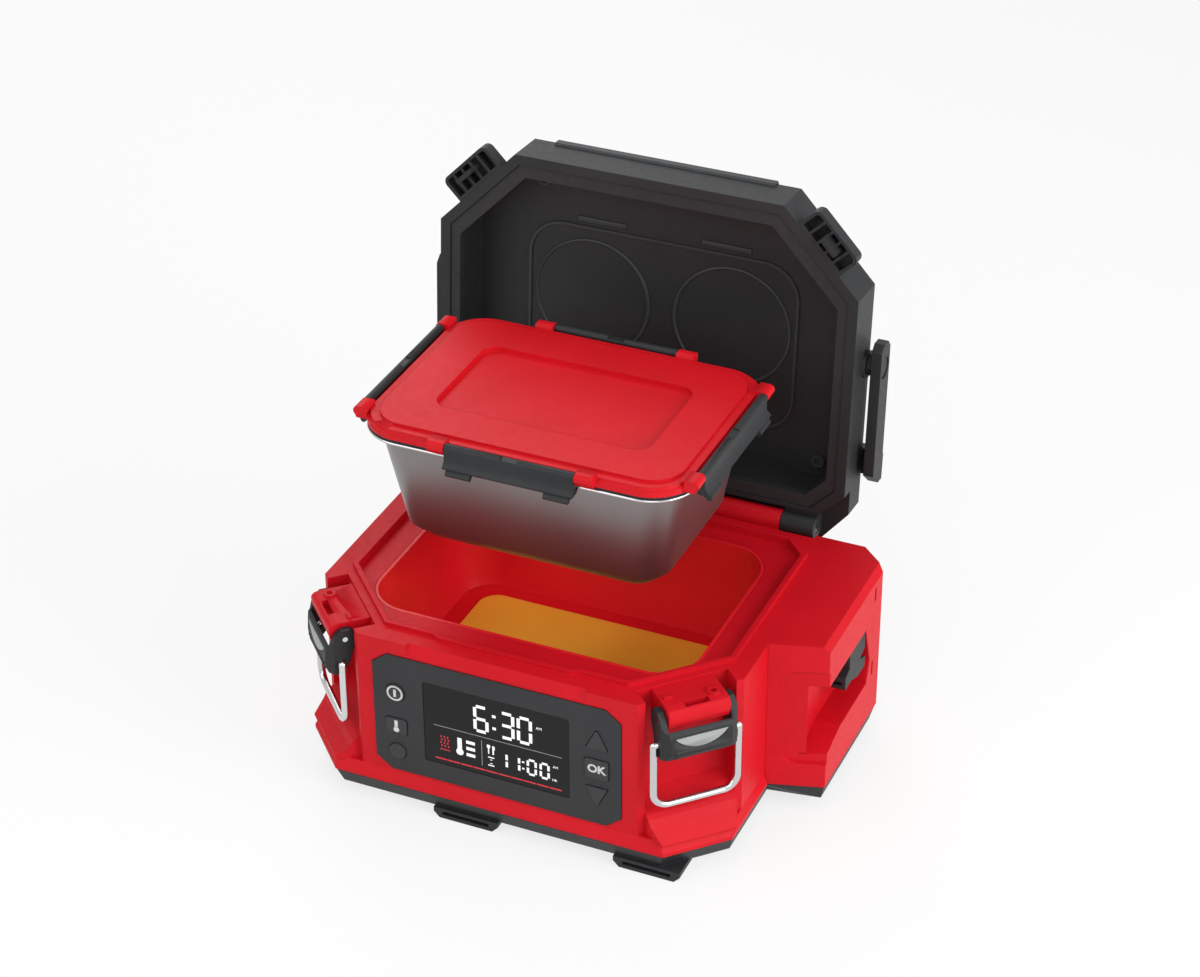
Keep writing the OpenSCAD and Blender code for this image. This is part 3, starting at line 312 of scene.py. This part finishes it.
for side, sign in (("right", 1), ("left", -1)):
    # round line, one in each half
    bpy.ops.mesh.primitive_torus_add(
        major_radius=ROUND_LINE_RADIUS, minor_radius=ROUND_LINE_HALF, major_segments=72, minor_segments=8)
    on_ceiling("lid_round_line_" + side, sign * ROUND_LINE_X, ROUND_LINE_FORWARD)

    # raised slot line near the front
    bpy.ops.mesh.primitive_cube_add(size=1)
    slot_line = bpy.context.object
    slot_line.data.transform(Matrix.Diagonal((*SLOT_LINE, 1)))
    soften = slot_line.modifiers.new("soften", "BEVEL")
    soften.width = SLOT_LINE_EDGE
    soften.segments = 3
    bpy.ops.object.modifier_apply(modifier=soften.name)
    on_ceiling("lid_slot_line_" + side, sign * SLOT_LINE_X, SLOT_LINE_FORWARD)

    # screw bosses, each a short post with a blind hole in its lower end
    for spot, (x, forward) in BOSSES.items():
        bpy.ops.mesh.primitive_cylinder_add(vertices=28, radius=BOSS_RADIUS, depth=BOSS_LENGTH)
        boss = bpy.context.object
        bpy.ops.object.mode_set(mode="EDIT")
        bpy.ops.mesh.select_all(action="DESELECT")
        bpy.ops.object.mode_set(mode="OBJECT")
        for vertex in boss.data.vertices:
            vertex.select = vertex.co.z < 0
        bpy.ops.object.mode_set(mode="EDIT")
        bpy.ops.mesh.inset(thickness=BOSS_WALL)
        bpy.ops.mesh.extrude_region_move(TRANSFORM_OT_translate={"value": (0, 0, BOSS_HOLE)})
        bpy.ops.object.mode_set(mode="OBJECT")
        on_ceiling("lid_boss_" + spot + "_" + side, sign * x, forward)

# rounded frame line round the two circles
bpy.ops.mesh.primitive_plane_add(size=1)
frame_line = bpy.context.object
frame_line.data.transform(Matrix.Diagonal((FRAME_WIDTH, FRAME_DEPTH, 1, 1)))
bpy.ops.object.mode_set(mode="EDIT")
bpy.ops.mesh.select_all(action="SELECT")
bpy.ops.mesh.bevel(offset=FRAME_CORNER, segments=10, affect="VERTICES")
bpy.ops.mesh.select_all(action="SELECT")
bpy.ops.mesh.inset(thickness=FRAME_LINE)
bpy.ops.mesh.delete(type="FACE")
bpy.ops.mesh.select_all(action="SELECT")
bpy.ops.mesh.extrude_region_move(TRANSFORM_OT_translate={"value": (0, 0, -FRAME_RELIEF)})
bpy.ops.mesh.select_all(action="SELECT")
bpy.ops.mesh.normals_make_consistent(inside=False)
bpy.ops.object.mode_set(mode="OBJECT")
on_ceiling("lid_frame_line", 0, FRAME_FORWARD)

# ---------------------------------------------------------------------------
# Food container: deep-drawn stainless steel, satin brushed round its walls,
# under a lid of semi-gloss red polypropylene that four clips hold down.
# ---------------------------------------------------------------------------
container_steel = brushed_metal(
    "container_steel", colour=(0.27, 0.26, 0.256), rough=(0.36, 0.42), stretch=(60, 60, 2400),
    patch=0.15, relief=0.003)
faired("food_container", container_steel, angle=30)

# The rim's edge is rolled into a thin polished bead.
BEAD = 0.9 * mm
RIM_CORNER = 25 * mm
tray_low, tray_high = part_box("food_container")
bead_width = tray_high.x - tray_low.x - BEAD
bead_depth = tray_high.y - tray_low.y - BEAD
bpy.ops.mesh.primitive_plane_add(size=1)
bead = bpy.context.object
bead.name = "container_rim_bead"
bead.data.transform(Matrix.Diagonal((bead_width, bead_depth, 1, 1)))
bpy.ops.object.mode_set(mode="EDIT")
bpy.ops.mesh.select_all(action="SELECT")
bpy.ops.mesh.bevel(offset=RIM_CORNER, segments=12, affect="VERTICES")
bpy.ops.mesh.select_all(action="SELECT")
bpy.ops.mesh.delete(type="ONLY_FACE")
bpy.ops.object.mode_set(mode="OBJECT")
bpy.ops.object.convert(target="CURVE")
bead.data.bevel_depth = BEAD
bead.data.bevel_resolution = 3
bpy.ops.object.convert(target="MESH")
tray_middle = (tray_low + tray_high) / 2
bead.data.transform(Matrix.Translation((tray_middle.x, tray_middle.y, tray_high.z - BEAD)))
bead.data.name = "container_rim_bead"
bead.data.materials.append(bright_wire)
bpy.ops.object.shade_smooth_by_angle(angle=math.radians(60))
bead.select_set(False)
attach(bead, "container")

red_polypropylene = moulded_plastic(
    "red_polypropylene", colour=(0.62, 0.006, 0.014), cloud=(0.56, 0.005, 0.011), rough=(0.42, 0.5),
    grain=0.03, shine=0.16)
faired("container_lid", red_polypropylene)

# ---------------------------------------------------------------------------
# Control panel: a bezel of charcoal polycarbonate, clipped into the front
# wall, with six satin buttons of a slightly paler grey.
# ---------------------------------------------------------------------------
panel_grey = moulded_plastic(
    "panel_grey", colour=(0.026, 0.027, 0.029), cloud=(0.021, 0.022, 0.024), rough=(0.42, 0.52), shine=0.3)
dress(panel_grey, "control_panel")
button_grey = moulded_plastic(
    "button_grey", colour=(0.032, 0.033, 0.035), cloud=(0.027, 0.028, 0.030), rough=(0.4, 0.5), shine=0.35)
dress(button_grey, "power_button", "temperature_button", "mode_button",
      "up_button", "ok_button", "down_button")

# ---------------------------------------------------------------------------
# Display: a smoked window over a segment display. The lit segments are thin
# raised marks that glow evenly, white for the clock and red for the heat.
# ---------------------------------------------------------------------------
MARK = 0.08 * mm
MARK_GAP = 0.02 * mm
CAPITALS = 1.39
GLOW_SCALE = 900
SEGMENTS = {"0": "abcdef", "1": "bc", "3": "abcdg", "6": "acdefg"}


def glowing(name, colour, strength):
    """A lit segment or line: an even glow over a dim face of the same colour."""
    material, tree, shader = node_tree(name)
    glow, _ = noise_range(tree, GLOW_SCALE, strength * 0.94, strength, detail=1.0)
    shader.inputs["Base Color"].default_value = (*[c * 0.5 for c in colour], 1)
    shader.inputs["Roughness"].default_value = 0.5
    shader.inputs["Emission Color"].default_value = (*colour, 1)
    tree.links.new(glow, shader.inputs["Emission Strength"])
    return material


window_black = moulded_plastic(
    "window_black", colour=(0.0045, 0.0045, 0.005), cloud=(0.003, 0.003, 0.0035), rough=(0.16, 0.24),
    grain=0.0, shine=0.25)
dress(window_black, "display_window")
lit_white = glowing("lit_white", (0.86, 0.88, 0.86), 0.75)
lit_red = glowing("lit_red", (0.60, 0.02, 0.03), 0.6)
lit_grey = glowing("lit_grey", (0.30, 0.31, 0.31), 0.5)

window_low, window_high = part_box("display_window")
window_x = (window_low.x + window_high.x) / 2


def to_panel(outline, x, z):
    """Moves a mark drawn in X and Y about the origin to a place on the panel, facing the front."""
    outline.data.transform(
        Matrix.Translation((x, window_low.y - MARK_GAP, z)) @ Matrix.Rotation(math.pi / 2, 4, "X"))


def thicken(outline):
    """Gives a flat mark its thickness and makes its faces point outward."""
    bpy.ops.object.mode_set(mode="EDIT")
    bpy.ops.mesh.select_all(action="SELECT")
    bpy.ops.mesh.extrude_region_move(TRANSFORM_OT_translate={"value": (0, 0, MARK)})
    bpy.ops.mesh.select_all(action="SELECT")
    bpy.ops.mesh.normals_make_consistent(inside=False)
    bpy.ops.object.mode_set(mode="OBJECT")


def bar(width, height, x, z, point):
    """A flat bar on the panel; point draws both of its ends to a tip, as on a display segment."""
    bpy.ops.mesh.primitive_circle_add(vertices=6, radius=1.0, fill_type="NGON")
    mark = bpy.context.object
    long_half = max(width, height) / 2
    short_half = min(width, height) / 2
    for vertex in mark.data.vertices:
        tip = abs(vertex.co.y) < 0.01
        along = math.copysign(long_half if tip else long_half - point, vertex.co.x)
        across = 0.0 if tip else math.copysign(short_half, vertex.co.y)
        vertex.co = (along, across, 0) if width > height else (-across, along, 0)
    thicken(mark)
    to_panel(mark, x, z)
    return mark


def disc(radius, x, z):
    """A flat disc on the panel."""
    bpy.ops.mesh.primitive_circle_add(vertices=32, radius=radius, fill_type="NGON")
    mark = bpy.context.object
    thicken(mark)
    to_panel(mark, x, z)
    return mark


def ring(radius, width, x, z):
    """A flat ring: a disc whose middle is inset and taken away."""
    bpy.ops.mesh.primitive_circle_add(vertices=48, radius=radius, fill_type="NGON")
    mark = bpy.context.object
    bpy.ops.object.mode_set(mode="EDIT")
    bpy.ops.mesh.select_all(action="SELECT")
    bpy.ops.mesh.inset(thickness=width)
    bpy.ops.mesh.delete(type="FACE")
    bpy.ops.object.mode_set(mode="OBJECT")
    thicken(mark)
    to_panel(mark, x, z)
    return mark


def letters(text, height, x, z, bold=0.0):
    """Capital letters of the given height, centred on a place on the panel."""
    bpy.ops.object.text_add()
    words = bpy.context.object
    words.data.body = text
    words.data.size = height * CAPITALS
    words.data.offset = bold
    words.data.align_x = "CENTER"
    words.data.align_y = "CENTER"
    words.data.extrude = MARK / 2
    bpy.ops.object.convert(target="MESH")
    to_panel(words, x, z)
    return words


def joined(name, marks, material, body):
    """Joins marks into one named piece of one material."""
    bpy.ops.object.select_all(action="DESELECT")
    for mark in marks:
        mark.select_set(True)
    bpy.context.view_layer.objects.active = marks[0]
    if len(marks) > 1:
        bpy.ops.object.join()
    piece = bpy.context.view_layer.objects.active
    piece.name = name
    piece.data.name = name
    piece.data.materials.clear()
    piece.data.materials.append(material)
    for face in piece.data.polygons:
        face.material_index = 0
    piece.select_set(False)
    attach(piece, body)
    return piece


def digit(sign, x, z, width, height, stroke):
    """The lit segments of one digit: x and z are its lower left corner."""
    gap = stroke * 0.06
    tip = stroke * 0.42
    level = (width - stroke - gap, stroke)
    upright = (stroke, height / 2 - stroke / 2 - gap)
    left = x + stroke / 2
    middle = x + width / 2
    right = x + width - stroke / 2
    lower = z + height / 4 + stroke / 4
    upper = z + height * 3 / 4 - stroke / 4
    spots = {
        "a": (*level, middle, z + height - stroke / 2),
        "g": (*level, middle, z + height / 2),
        "d": (*level, middle, z + stroke / 2),
        "f": (*upright, left, upper),
        "b": (*upright, right, upper),
        "e": (*upright, left, lower),
        "c": (*upright, right, lower),
    }
    return [bar(*spots[letter], tip) for letter in SEGMENTS[sign]]


def bars(*rows):
    """Bars in millimetres: width, height, place right of the window's middle, height above the table, tip."""
    return [bar(width * mm, height * mm, window_x + x * mm, z * mm, tip * mm)
            for width, height, x, z, tip in rows]


# the clock: four signs in a row, of which the colon is two dots
CLOCK_DIGIT = (9.0 * mm, 18.0 * mm, 1.9 * mm)
CLOCK_LOW = 65.2 * mm
clock = []
for sign, left in (("6", -13.2), ("3", 2.2), ("0", 12.6)):
    clock += digit(sign, window_x + left * mm, CLOCK_LOW, *CLOCK_DIGIT)
clock += bars((2.1, 2.1, -0.9, 70.3, 0.2), (2.1, 2.1, -0.9, 78.3, 0.2))
clock.append(letters("AM", 1.8 * mm, window_x + 25.6 * mm, 78.0 * mm))
joined("clock_digits", clock, lit_white, "base")

# the second row: the time at which the food is ready
READY_DIGIT = (6.0 * mm, 10.9 * mm, 1.4 * mm)
READY_LOW = 45.3 * mm
ready = []
for sign, left in (("1", 0.8), ("1", 8.2), ("0", 18.0), ("0", 25.6)):
    ready += digit(sign, window_x + left * mm, READY_LOW, *READY_DIGIT)
ready += bars((1.4, 1.4, 15.9, 48.6, 0.2), (1.4, 1.4, 15.9, 53.0, 0.2))
ready.append(letters("AM", 1.6 * mm, window_x + 35.0 * mm, 55.0 * mm))
ready.append(letters("HR", 1.6 * mm, window_x + 34.4 * mm, 46.2 * mm))
# thermometer with three bars beside it
ready.append(disc(2.2 * mm, window_x - 22.0 * mm, 48.6 * mm))
ready += bars((2.6, 10.0, -22.0, 53.6, 0.8))
ready += bars(*((5.4, 2.0, -15.4, height, 0.1) for height in (48.0, 52.2, 56.4)))
joined("ready_digits", ready, lit_white, "base")

# fork, knife and hourglass, with the thin lines that part the fields
fork = bars((0.7, 6.0, -4.6, 55.4, 0.1), (1.9, 2.2, -4.6, 57.4, 0.1))
knife = bars((0.9, 6.0, -1.9, 55.4, 0.1), (1.4, 3.0, -1.6, 56.8, 0.4))
hourglass = bars((3.8, 0.7, -3.2, 50.2, 0.1), (3.8, 0.7, -3.2, 44.8, 0.1),
                 (1.2, 2.4, -3.2, 48.6, 1.0), (1.6, 2.4, -3.2, 46.2, 1.0))
joined("meal_marks", fork + knife + hourglass, lit_white, "base")
rules = bars((76.4, 0.35, 0.8, 62.6, 0.1), (0.35, 17.0, -8.7, 51.8, 0.1))
joined("field_lines", rules, lit_grey, "base")

# heat: three rising waves over a bar, and the long line of red segments
WAVE_STEP = 2.0
WAVE_DRIFT = 0.25
LINE_STEP = 7.6
heat = bars((6.4, 0.6, -31.0, 47.3, 0.1))
for wave in (-33.0, -31.0, -29.0):
    for step in range(4):
        drift = WAVE_DRIFT if step % 2 == 0 else -WAVE_DRIFT
        heat += bars((0.8, 2.4, wave + drift, 49.8 + step * WAVE_STEP, 0.6))
for step in range(10):
    heat += bars((7.3, 0.9, -33.4 + step * LINE_STEP, 40.6, 0.1))
joined("heat_marks", heat, lit_red, "base")

# ---------------------------------------------------------------------------
# Button marks: white symbols printed on the button faces. Each rides on its
# own button and goes in with it. The mode and arrow buttons carry no print.
# ---------------------------------------------------------------------------
print_white = moulded_plastic(
    "print_white", colour=(0.66, 0.67, 0.66), cloud=(0.58, 0.59, 0.58), rough=(0.45, 0.6), grain=0.02)


def on_button(name, marks, button):
    """Sets joined marks on the face of their button."""
    piece = joined(name, marks, print_white, button + "_body")
    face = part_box(button)[0].y
    piece.data.transform(Matrix.Translation((0, face - window_low.y, 0)))


def middle_of(button):
    """The middle of a button's face, as x and z."""
    low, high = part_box(button)
    return (low.x + high.x) / 2, (low.z + high.z) / 2


power_x, power_z = middle_of("power_button")
power_ring = ring(4.9 * mm, 1.15 * mm, power_x, power_z)
power_stroke = bar(1.7 * mm, 5.6 * mm, power_x, power_z, 0.4 * mm)
on_button("power_mark", [power_ring, power_stroke], "power_button")

warm_x, warm_z = middle_of("temperature_button")
warm_bulb = disc(1.75 * mm, warm_x, warm_z - 2.3 * mm)
warm_stem = bar(2.0 * mm, 5.2 * mm, warm_x, warm_z + 1.5 * mm, 0.3 * mm)
on_button("temperature_mark", [warm_bulb, warm_stem], "temperature_button")

ok_x, ok_z = middle_of("ok_button")
on_button("ok_mark", [letters("OK", 5.0 * mm, ok_x, ok_z, bold=0.28 * mm)], "ok_button")

# ---------------------------------------------------------------------------
# Inner parts that the covers hide: circuit boards, the display's frame, the
# heater sheet with its felt and steel pan, and the thermostat screwed under it.
# ---------------------------------------------------------------------------
board_green = moulded_plastic(
    "board_green", colour=(0.02, 0.16, 0.06), cloud=(0.015, 0.12, 0.05), rough=(0.3, 0.4))
dress(board_green, "power_board", "control_board")
frame_grey = moulded_plastic(
    "frame_grey", colour=(0.12, 0.12, 0.13), cloud=(0.10, 0.10, 0.11), rough=(0.4, 0.5))
dress(frame_grey, "display_module")
mica = moulded_plastic("mica", colour=(0.35, 0.26, 0.12), cloud=(0.28, 0.20, 0.09), rough=(0.4, 0.6))
dress(mica, "heater_element")
felt = moulded_plastic(
    "felt", colour=(0.72, 0.69, 0.62), cloud=(0.62, 0.60, 0.54), rough=(0.85, 0.95), grain=0.4)
dress(felt, "insulation_pad")
sheet_steel = brushed_metal(
    "sheet_steel", colour=(0.5, 0.5, 0.51), rough=(0.3, 0.45), stretch=(40, 400, 400))
dress(sheet_steel, "heater_pan", "thermostat")

# ---------------------------------------------------------------------------
# Studio: a pale floor and backdrop that look white to the camera, and square
# soft lamps all round.
# ---------------------------------------------------------------------------
FLOOR_SIZE = 12
FLOOR_GREY = 0.86
FLOOR_GLOW = 0.75
SKY_LIGHT = 0.38
MIDDLE = Vector((0.0, 0.0, 0.12))


def seen_plain(tree):
    """One for rays from the camera and in reflections and glass, none for rays that light the object."""
    path = tree.nodes.new("ShaderNodeLightPath")
    seen = tree.nodes.new("ShaderNodeMath")
    seen.operation = "MAXIMUM"
    tree.links.new(path.outputs["Is Camera Ray"], seen.inputs[0])
    tree.links.new(path.outputs["Is Glossy Ray"], seen.inputs[1])
    seen_or_through = tree.nodes.new("ShaderNodeMath")
    seen_or_through.operation = "MAXIMUM"
    tree.links.new(seen.outputs["Value"], seen_or_through.inputs[0])
    tree.links.new(path.outputs["Is Transmission Ray"], seen_or_through.inputs[1])
    return seen_or_through.outputs["Value"]


bpy.ops.object.select_all(action="DESELECT")
bpy.ops.mesh.primitive_plane_add(size=FLOOR_SIZE)
floor = bpy.context.object
floor.name = "floor"
floor_material, floor_tree, floor_shader = node_tree("studio_floor")
floor_shader.inputs["Base Color"].default_value = (FLOOR_GREY, FLOOR_GREY, FLOOR_GREY, 1)
floor_shader.inputs["Roughness"].default_value = 0.9
share = floor_tree.nodes.new("ShaderNodeMath")
share.operation = "MULTIPLY"
share.inputs[1].default_value = FLOOR_GLOW
floor_tree.links.new(seen_plain(floor_tree), share.inputs[0])
white = add_node(floor_tree, "ShaderNodeEmission", Color=(1, 1, 1, 1), Strength=1.0)
floor_mix = floor_tree.nodes.new("ShaderNodeMixShader")
floor_tree.links.new(share.outputs["Value"], floor_mix.inputs["Fac"])
floor_tree.links.new(floor_shader.outputs["BSDF"], floor_mix.inputs[1])
floor_tree.links.new(white.outputs["Emission"], floor_mix.inputs[2])
floor_tree.links.new(floor_mix.outputs["Shader"], floor_tree.nodes["Material Output"].inputs["Surface"])
floor.data.materials.append(floor_material)

world = bpy.data.worlds.new("studio")
bpy.context.scene.world = world
world.use_nodes = True
world_tree = world.node_tree
sky = world_tree.nodes["Background"]
sky.inputs["Color"].default_value = (1, 1, 1, 1)
sky.inputs["Strength"].default_value = SKY_LIGHT
white_sky = add_node(world_tree, "ShaderNodeBackground", Strength=1.0)
sky_mix = world_tree.nodes.new("ShaderNodeMixShader")
world_tree.links.new(seen_plain(world_tree), sky_mix.inputs["Fac"])
world_tree.links.new(sky.outputs["Background"], sky_mix.inputs[1])
world_tree.links.new(white_sky.outputs["Background"], sky_mix.inputs[2])
world_tree.links.new(sky_mix.outputs["Shader"], world_tree.nodes["World Output"].inputs["Surface"])


def softbox(name, azimuth, elevation, distance, width, height, watts):
    """A square lamp that faces the box from the given side, in degrees and metres."""
    lamp_data = bpy.data.lights.new(name, "AREA")
    lamp_data.shape = "RECTANGLE"
    lamp_data.size = width
    lamp_data.size_y = height
    lamp_data.energy = watts
    lamp = bpy.data.objects.new(name, lamp_data)
    bpy.context.scene.collection.objects.link(lamp)
    turn = math.radians(azimuth)
    rise = math.radians(elevation)
    toward = Vector((math.sin(turn) * math.cos(rise), -math.cos(turn) * math.cos(rise), math.sin(rise)))
    lamp.location = MIDDLE + toward * distance
    lamp.rotation_euler = toward.to_track_quat("Z", "Y").to_euler()


softbox("key_right", 82, 22, distance=1.6, width=1.2, height=1.0, watts=20)
softbox("front_left", -35, 30, distance=1.8, width=1.2, height=1.0, watts=8)
softbox("front", 20, 33, distance=1.9, width=0.9, height=0.8, watts=6)
softbox("top", 10, 80, distance=1.7, width=1.4, height=1.2, watts=6)
softbox("rear_left", -140, 40, distance=1.8, width=1.0, height=1.0, watts=8)
